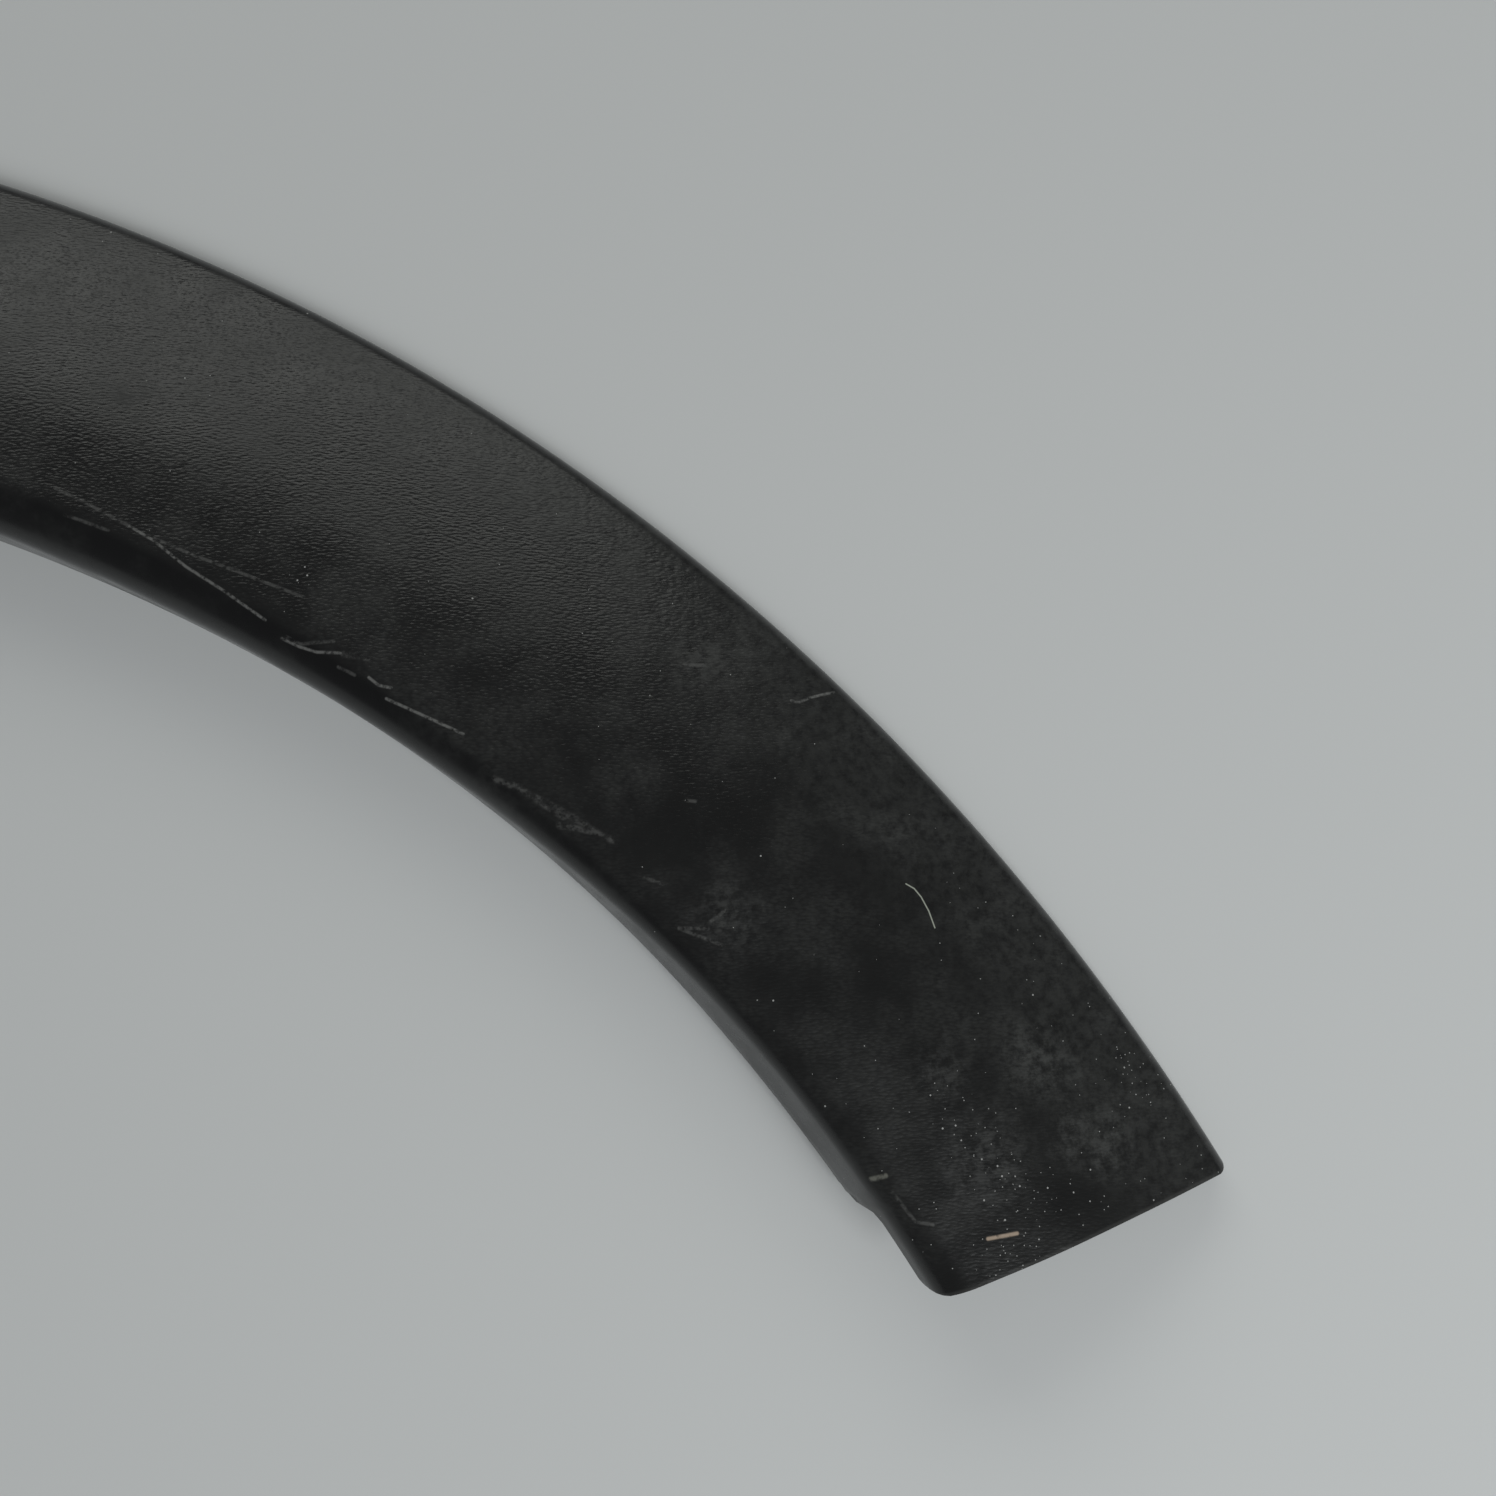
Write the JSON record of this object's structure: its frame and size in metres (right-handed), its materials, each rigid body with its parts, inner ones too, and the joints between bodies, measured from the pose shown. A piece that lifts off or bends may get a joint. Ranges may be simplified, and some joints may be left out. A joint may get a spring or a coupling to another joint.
{
  "type": "wheel arch molding",
  "caption": "Arched black plastic body trim with a grained face, a rolled inner edge and return flange, and clip seats on its back; covers the rim of a car's wheel opening.",
  "frame": {"origin": "centre of the outline, on the plane that the rim and flange foot rest on", "axes": "+X along the car, across the arch; +Y from the wheel towards the crown; +Z out of the grained face, up as it lies"},
  "size_m": [0.9232, 0.3838, 0.0228],
  "materials": {
    "grained_plastic": "fine leather grain on the face, smooth roll and flange, dusty and scuffed"
  },
  "bodies": {
    "root": {"arch_molding": "grained_plastic"}
  },
  "joints": []
}
